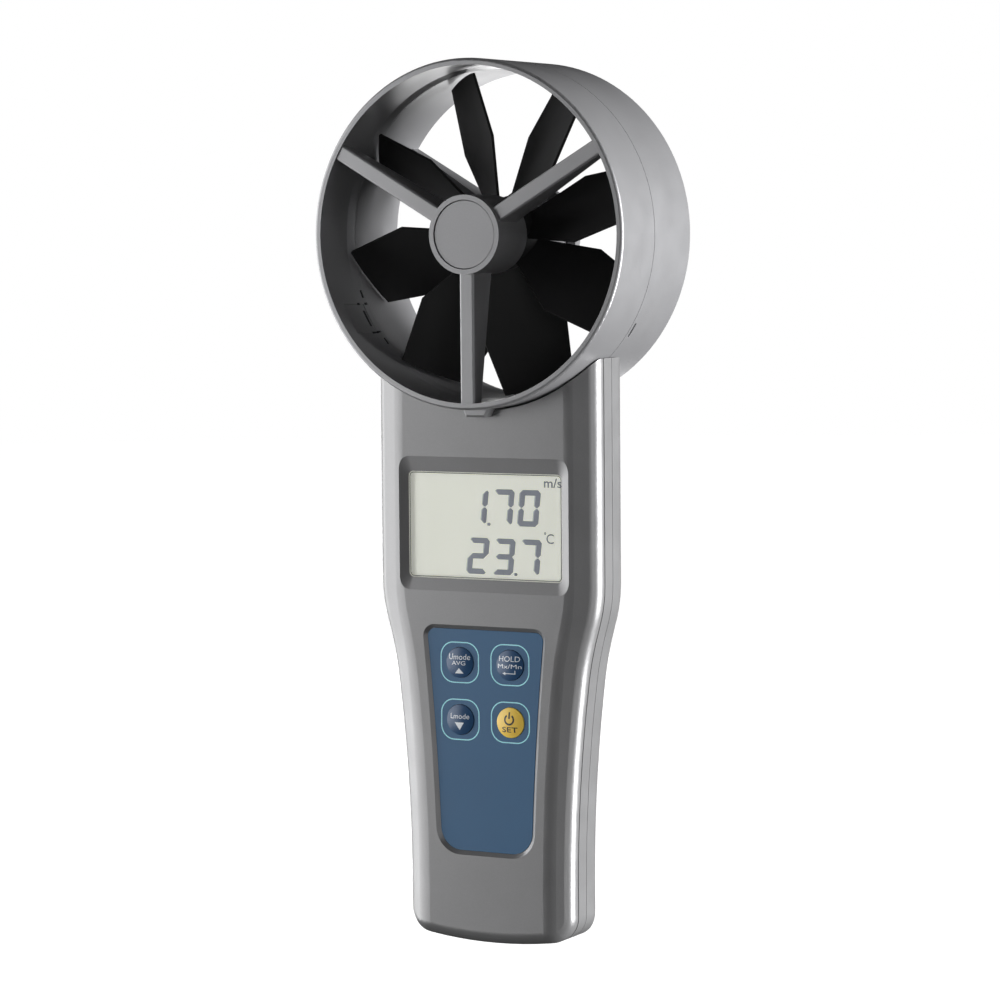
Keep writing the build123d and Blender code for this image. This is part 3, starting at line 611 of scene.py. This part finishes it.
# ---------------------------------------------------------------- studio
WORLD_FILL = (0.012, 0.012, 0.0125)
FLOOR_RADIUS = 4.0
FLOOR_GLOW = 1.0
FLOOR_DROP = 70 * MM
MIDDLE = Vector((0, 0, 0.13))             # what the lamps face
LAMP_DISTANCE = 1.35
STRIP = (0.47, 1.1)
REAR_LOW = (0.9, 0.45)
STRIPS = (("left_softbox", -80, 5.8), ("left_edge", -60, 3.6), ("left_front", -40, 3.4),
          ("left_back", -100, 2.6), ("rear_left", -140, 4.2), ("right_softbox", 100, 21.0),
          ("right_back", 120, 10.0), ("right_front", 80, 1.2), ("front_right", 40, 1.3))
CAMERA_PLACE = (0.518648, -0.957011, 0.218393)
CAMERA_TURN = (28.43, 4.26, -0.49)        # azimuth, elevation and roll in degrees
CAMERA_LENS = 127.6


def softbox(name, azimuth, elevation, size, radiance):
    """A rectangular light that faces the instrument and isn't itself in the picture.

    Azimuth 0 is in front of the display and 90 to its right, as the reader sees it.
    """
    a, e = math.radians(azimuth), math.radians(elevation)
    direction = Vector((math.sin(a) * math.cos(e), -math.cos(a) * math.cos(e), math.sin(e)))
    light = bpy.data.lights.new(name, "AREA")
    light.shape = "RECTANGLE"
    light.size, light.size_y = size
    light.energy = radiance * math.pi * size[0] * size[1]
    lamp = bpy.data.objects.new(name, light)
    bpy.context.collection.objects.link(lamp)
    lamp.visible_camera = False
    lamp.location = MIDDLE + direction * LAMP_DISTANCE
    lamp.rotation_euler = (-direction).to_track_quat("-Z", "Y").to_euler()


def make_world():
    world = bpy.data.worlds.new("studio")
    world.use_nodes = True
    tree = world.node_tree
    sky = tree.nodes["Background"]
    sky.inputs["Color"].default_value = (*WORLD_FILL, 1)
    seen = tree.nodes.new("ShaderNodeBackground")
    seen.inputs["Color"].default_value = (1, 1, 1, 1)
    path = tree.nodes.new("ShaderNodeLightPath")
    mix = tree.nodes.new("ShaderNodeMixShader")
    tree.links.new(path.outputs["Is Camera Ray"], mix.inputs[0])
    tree.links.new(sky.outputs[0], mix.inputs[1])
    tree.links.new(seen.outputs[0], mix.inputs[2])
    tree.links.new(mix.outputs[0], tree.nodes["World Output"].inputs[0])
    bpy.context.scene.world = world


def make_floor():
    """A pale floor, low enough for the battery door to slide right off above it."""
    bm = bmesh.new()
    bmesh.ops.create_circle(bm, cap_ends=True, segments=96, radius=FLOOR_RADIUS)
    mesh = bpy.data.meshes.new("studio_floor")
    bm.to_mesh(mesh)
    bm.free()
    surface = Surface("studio_floor", Roughness=0.9)
    surface.shader.inputs["Base Color"].default_value = (0.2, 0.2, 0.2, 1)
    surface.shader.inputs["Emission Color"].default_value = (1, 1, 1, 1)
    surface.shader.inputs["Emission Strength"].default_value = FLOOR_GLOW
    mesh.materials.append(surface.material)
    floor = bpy.data.objects.new("studio_floor", mesh)
    floor.location.z = cad_box[0].z - FLOOR_DROP
    floor.visible_glossy = floor.visible_diffuse = floor.visible_transmission = False
    floor.visible_shadow = False
    bpy.context.collection.objects.link(floor)


def make_camera():
    azimuth, elevation, roll = [math.radians(angle) for angle in CAMERA_TURN]
    back = Vector((math.sin(azimuth) * math.cos(elevation), -math.cos(azimuth) * math.cos(elevation),
                   math.sin(elevation)))
    right = Vector((math.cos(azimuth), math.sin(azimuth), 0))
    up = back.cross(right)
    side = right * math.cos(roll) + up * math.sin(roll)
    top = up * math.cos(roll) - right * math.sin(roll)
    lens = bpy.data.cameras.new("camera")
    lens.sensor_width = 36
    lens.lens = CAMERA_LENS
    lens.clip_start, lens.clip_end = 0.01, 50
    camera = bpy.data.objects.new("camera", lens)
    turn = Matrix((side, top, back)).transposed().to_4x4()
    camera.matrix_world = Matrix.Translation(CAMERA_PLACE) @ turn
    bpy.context.collection.objects.link(camera)
    bpy.context.scene.camera = camera


for lamp_name, lamp_azimuth, lamp_radiance in STRIPS:
    softbox(lamp_name, lamp_azimuth, 0, STRIP, lamp_radiance)
softbox("rear_low", -151, -14, REAR_LOW, 2.6)
make_world()
make_floor()
make_camera()
bpy.context.scene.view_settings.view_transform = "Standard"
